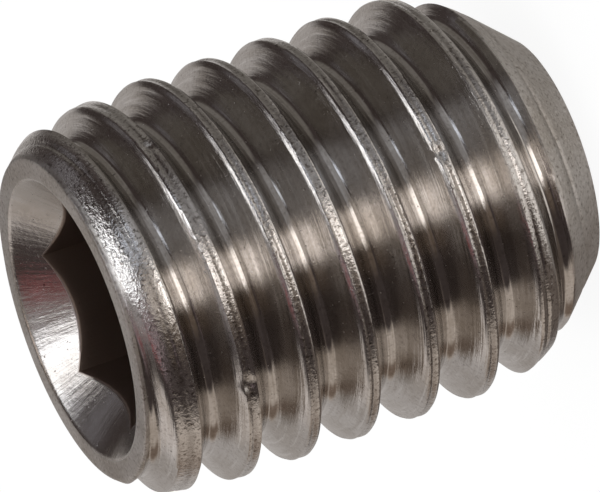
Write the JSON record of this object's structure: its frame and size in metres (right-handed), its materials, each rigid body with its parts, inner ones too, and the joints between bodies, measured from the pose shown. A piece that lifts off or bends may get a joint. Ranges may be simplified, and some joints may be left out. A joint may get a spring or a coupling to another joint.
{
  "type": "hexagon socket set screw",
  "caption": "Short headless set screw with a full-length coarse thread, a countersunk hexagon socket and a chamfered cup point.",
  "frame": {"origin": "centre of the point's rim, on the screw's axis, on the surface that the screw stands on", "axes": "+Z along the screw's axis from the point to the socket face, which faces up; the angles of the hexagon and the thread about it are named values in the part's source"},
  "size_m": [0.0078, 0.0078, 0.01],
  "materials": {
    "stainless_steel": "rolled and cold-formed stainless steel, left bare"
  },
  "bodies": {
    "root": {"set_screw": "stainless_steel"}
  },
  "joints": []
}
